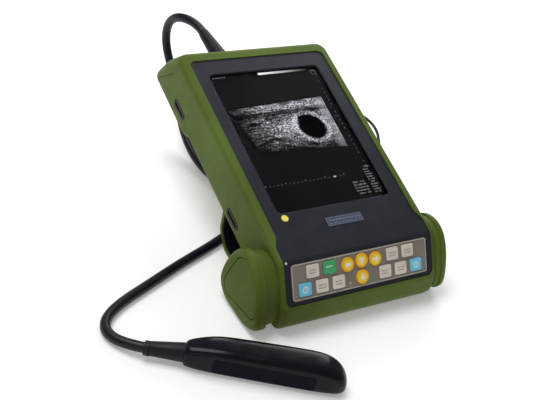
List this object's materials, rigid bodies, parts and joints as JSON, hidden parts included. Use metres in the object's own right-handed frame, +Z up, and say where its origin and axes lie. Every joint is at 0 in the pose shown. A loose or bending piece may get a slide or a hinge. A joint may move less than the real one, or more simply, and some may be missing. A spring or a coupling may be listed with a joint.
{
  "type": "portable ultrasound scanner",
  "caption": "Hand-held wedge-shaped ultrasound scanner with a tall screen, a sloping keypad, a slot under it for the probe, and a rod-shaped probe on a cable.",
  "frame": {"origin": "middle of the underside of the foot under the base", "axes": "+X to the operator's right, +Y away from the operator, along the foot-to-screen-top direction, +Z up"},
  "size_m": [0.2704, 0.3618, 0.1102],
  "materials": {
    "green_housing": "satin",
    "green_rubber": "satin",
    "black_rubber": "matte",
    "dark_bezel": "satin",
    "glass": "polished",
    "display": "gloss",
    "overlay": "matte",
    "white_key": "satin",
    "green_key": "satin",
    "yellow_key": "satin",
    "blue_key": "satin",
    "plate": "satin",
    "chassis": "satin",
    "board": "satin",
    "chip": "matte",
    "steel": "satin",
    "brass": "satin",
    "black_plastic": "matte",
    "cell_wrap": "satin",
    "cell": "satin",
    "cord": "matte",
    "cable": "satin",
    "probe": "gloss",
    "probe_face": "satin",
    "array": "matte"
  },
  "bodies": {
    "scanner": {"base_plate": "steel", "battery_bay": "black_plastic", "beamformer_board": "board", "board_spacers": "brass", "cable_clamp_nut": "black_plastic", "cable_strain_relief": "black_rubber", "carry_cord": "cord", "chassis_plate": "chassis", "cover_posts": "green_housing", "cover_screws": "steel", "dc_socket": "black_plastic", "end_cap_left": "green_housing", "end_cap_right": "green_housing", "foot_pad": "black_rubber", "front_bezel": "dark_bezel", "housing_shell": "green_housing", "key_domes": "steel", "keypad_board": "board", "keypad_overlay": "overlay", "lcd_gasket": "black_rubber", "lcd_panel": "display", "main_board": "board", "main_board_chips": "chip", "name_plate": "plate", "port_panel": "black_plastic", "probe_array": "array", "probe_bay_liner": "black_rubber", "probe_bay_shell": "green_housing", "probe_body": "probe", "probe_cable": "cable", "probe_lens": "probe_face", "probe_nose": "probe", "probe_sleeve": "black_rubber", "rear_cover": "green_housing", "shield_can": "chassis", "slot_liners": "black_plastic", "strap_pins": "steel", "usb_socket": "steel", "video_socket": "brass", "window_glass": "glass"},
    "key_down_cap": {"key_down": "yellow_key"},
    "key_freeze_cap": {"key_freeze": "green_key"},
    "key_left_cap": {"key_left": "yellow_key"},
    "key_lower_1_cap": {"key_lower_1": "white_key"},
    "key_lower_2_cap": {"key_lower_2": "white_key"},
    "key_lower_3_cap": {"key_lower_3": "white_key"},
    "key_lower_4_cap": {"key_lower_4": "white_key"},
    "key_power_cap": {"key_power": "blue_key"},
    "key_right_cap": {"key_right": "yellow_key"},
    "key_save_cap": {"key_save": "blue_key"},
    "key_up_cap": {"key_up": "yellow_key"},
    "key_upper_1_cap": {"key_upper_1": "white_key"},
    "key_upper_2_cap": {"key_upper_2": "white_key"},
    "key_upper_3_cap": {"key_upper_3": "white_key"},
    "port_lid": {"port_cover": "green_rubber"},
    "battery": {"battery_door": "green_housing", "battery_sleeve": "cell_wrap", "battery_cells": "cell"}
  },
  "joints": [
    {"name": "key_down_press", "type": "slide", "parent": "scanner", "child": "key_down_cap", "axis": [0, 0.8625, -0.506], "range_m": [0, 0.0005], "stiffness_N_per_m": 1500},
    {"name": "key_freeze_press", "type": "slide", "parent": "scanner", "child": "key_freeze_cap", "axis": [0, 0.8625, -0.506], "range_m": [0, 0.0005], "stiffness_N_per_m": 1500},
    {"name": "key_left_press", "type": "slide", "parent": "scanner", "child": "key_left_cap", "axis": [0, 0.8625, -0.506], "range_m": [0, 0.0005], "stiffness_N_per_m": 1500},
    {"name": "key_lower_1_press", "type": "slide", "parent": "scanner", "child": "key_lower_1_cap", "axis": [0, 0.8625, -0.506], "range_m": [0, 0.0005], "stiffness_N_per_m": 1500},
    {"name": "key_lower_2_press", "type": "slide", "parent": "scanner", "child": "key_lower_2_cap", "axis": [0, 0.8625, -0.506], "range_m": [0, 0.0005], "stiffness_N_per_m": 1500},
    {"name": "key_lower_3_press", "type": "slide", "parent": "scanner", "child": "key_lower_3_cap", "axis": [0, 0.8625, -0.506], "range_m": [0, 0.0005], "stiffness_N_per_m": 1500},
    {"name": "key_lower_4_press", "type": "slide", "parent": "scanner", "child": "key_lower_4_cap", "axis": [0, 0.8625, -0.506], "range_m": [0, 0.0005], "stiffness_N_per_m": 1500},
    {"name": "key_power_press", "type": "slide", "parent": "scanner", "child": "key_power_cap", "axis": [0, 0.8625, -0.506], "range_m": [0, 0.0005], "stiffness_N_per_m": 1500},
    {"name": "key_right_press", "type": "slide", "parent": "scanner", "child": "key_right_cap", "axis": [0, 0.8625, -0.506], "range_m": [0, 0.0005], "stiffness_N_per_m": 1500},
    {"name": "key_save_press", "type": "slide", "parent": "scanner", "child": "key_save_cap", "axis": [0, 0.8625, -0.506], "range_m": [0, 0.0005], "stiffness_N_per_m": 1500},
    {"name": "key_up_press", "type": "slide", "parent": "scanner", "child": "key_up_cap", "axis": [0, 0.8625, -0.506], "range_m": [0, 0.0005], "stiffness_N_per_m": 1500},
    {"name": "key_upper_1_press", "type": "slide", "parent": "scanner", "child": "key_upper_1_cap", "axis": [0, 0.8625, -0.506], "range_m": [0, 0.0005], "stiffness_N_per_m": 1500},
    {"name": "key_upper_2_press", "type": "slide", "parent": "scanner", "child": "key_upper_2_cap", "axis": [0, 0.8625, -0.506], "range_m": [0, 0.0005], "stiffness_N_per_m": 1500},
    {"name": "key_upper_3_press", "type": "slide", "parent": "scanner", "child": "key_upper_3_cap", "axis": [0, 0.8625, -0.506], "range_m": [0, 0.0005], "stiffness_N_per_m": 1500},
    {"name": "port_cover_hinge", "type": "hinge", "parent": "scanner", "child": "port_lid", "pos_m": [-0.0862, -0.004, 0.0116], "axis": [0, -0.9881, 0.154], "range_deg": [0, 100]},
    {"name": "battery_slide", "type": "slide", "parent": "scanner", "child": "battery", "axis": [1, 0, 0], "range_m": [0, 0.14]}
  ]
}
